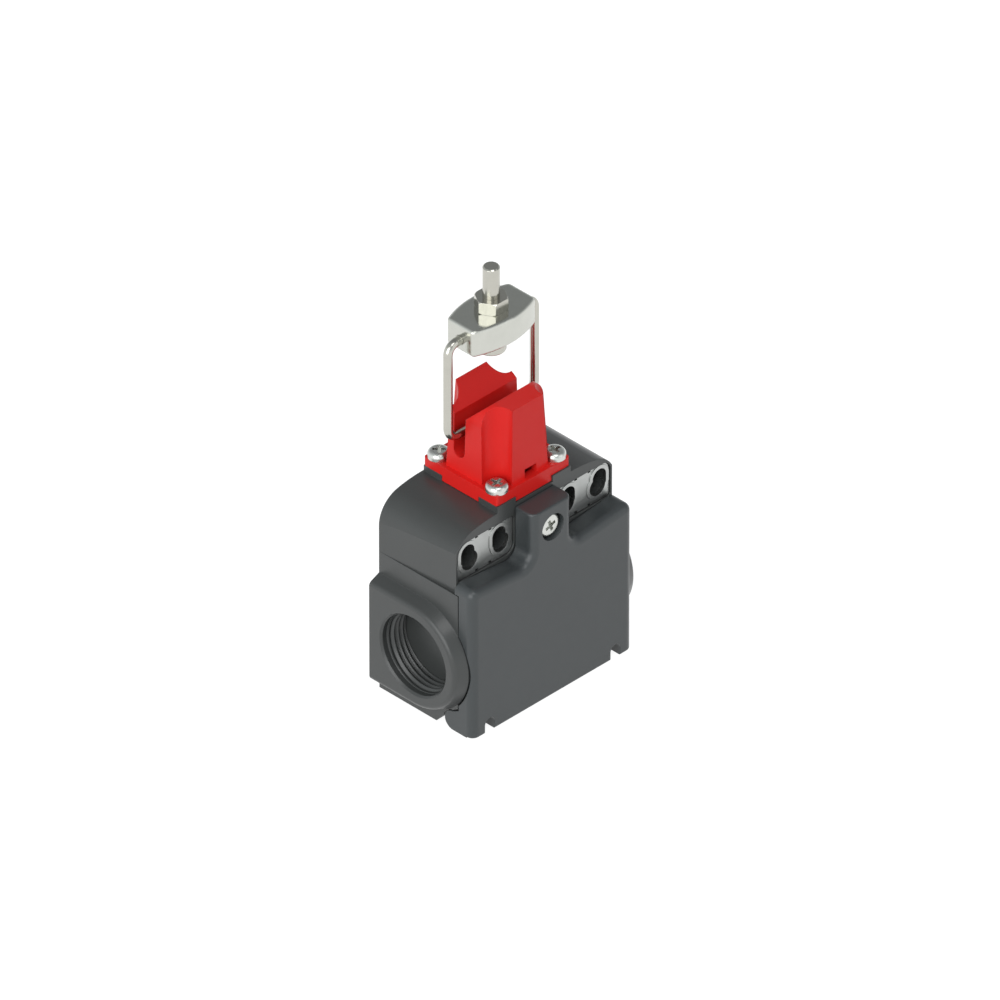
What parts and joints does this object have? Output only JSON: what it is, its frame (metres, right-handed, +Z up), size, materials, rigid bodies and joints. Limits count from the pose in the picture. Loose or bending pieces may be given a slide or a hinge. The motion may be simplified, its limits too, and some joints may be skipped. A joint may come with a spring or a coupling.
{
  "type": "safety interlock switch",
  "caption": "Box-shaped safety interlock switch with side conduit entries, a hinged front cover, a slotted key head and a wire loop actuator.",
  "frame": {"origin": "under the middle of the body, on the surface that the switch stands on", "axes": "+X to the right along the cover, +Y from the cover to the mounting face, +Z up towards the actuator"},
  "size_m": [0.058, 0.03, 0.109],
  "materials": {
    "housing_moulding": "fine satin texture, dark grey",
    "cover_moulding": "fine satin texture, dark grey",
    "head_moulding": "satin red",
    "seal_rubber": "matt black",
    "screw_steel": "zinc plated",
    "plate_steel": "satin stainless",
    "inner_steel": "plain steel",
    "inner_moulding": "pale moulding",
    "block_moulding": "dark moulding",
    "contact_brass": "plain brass",
    "wire_steel": "bright stainless",
    "polished_steel": "polished stainless"
  },
  "bodies": {
    "root": {"housing": "housing_moulding", "fixing_plate_right": "plate_steel", "fixing_plate_left": "plate_steel", "head": "head_moulding", "head_screws": "screw_steel", "head_gasket": "seal_rubber", "guide_plate": "inner_moulding", "rotor_pin": "inner_steel", "contact_block": "block_moulding", "fixed_contacts": "contact_brass", "terminal_clamps": "screw_steel", "terminal_screws": "screw_steel", "contact_block_screws": "screw_steel", "carrier_spring": "inner_steel", "earth_screw": "screw_steel", "earth_washer": "contact_brass"},
    "cover": {"cover": "cover_moulding", "cover_gasket": "seal_rubber", "cover_screw": "screw_steel", "cover_screw_seal": "seal_rubber"},
    "rotor": {"cam_rotor": "inner_steel"},
    "plunger": {"plunger": "inner_steel"},
    "carrier": {"contact_carrier": "inner_moulding", "contact_bridges": "contact_brass"},
    "loop": {"wire_loop": "wire_steel"},
    "actuator": {"actuator_block": "polished_steel", "actuator_stud": "wire_steel", "stud_nut": "wire_steel"}
  },
  "joints": [
    {"name": "actuator_insert", "type": "slide", "parent": "root", "child": "loop", "axis": [0, 0, 1], "range_m": [-0.0052, 0.009]},
    {"name": "block_swivel", "type": "hinge", "parent": "loop", "child": "actuator", "pos_m": [0, 0.0048, 0.0935], "axis": [1, 0, 0], "range_deg": [-30, 30]},
    {"name": "rotor_turn", "type": "hinge", "parent": "root", "child": "rotor", "pos_m": [0, -0.0006, 0.0636], "axis": [1, 0, 0], "range_deg": [-55.2, 95.6]},
    {"name": "plunger_stroke", "type": "slide", "parent": "root", "child": "plunger", "axis": [0, 0, -1], "range_m": [-0.00063, 0.00109]},
    {"name": "carrier_stroke", "type": "slide", "parent": "root", "child": "carrier", "axis": [0, 0, -1], "range_m": [-0.00063, 0.00109], "deforming": ["carrier_spring"]},
    {"name": "cover_open", "type": "hinge", "parent": "root", "child": "cover", "pos_m": [0, -0.0087, 0.0026], "axis": [1, 0, 0], "range_deg": [0, 90]}
  ],
  "couplings": [
    {"joint": "rotor_turn", "follows": "actuator_insert", "rad_per_m": 185.19},
    {"joint": "plunger_stroke", "follows": "actuator_insert", "ratio": 0.12},
    {"joint": "carrier_stroke", "follows": "actuator_insert", "ratio": 0.12}
  ]
}
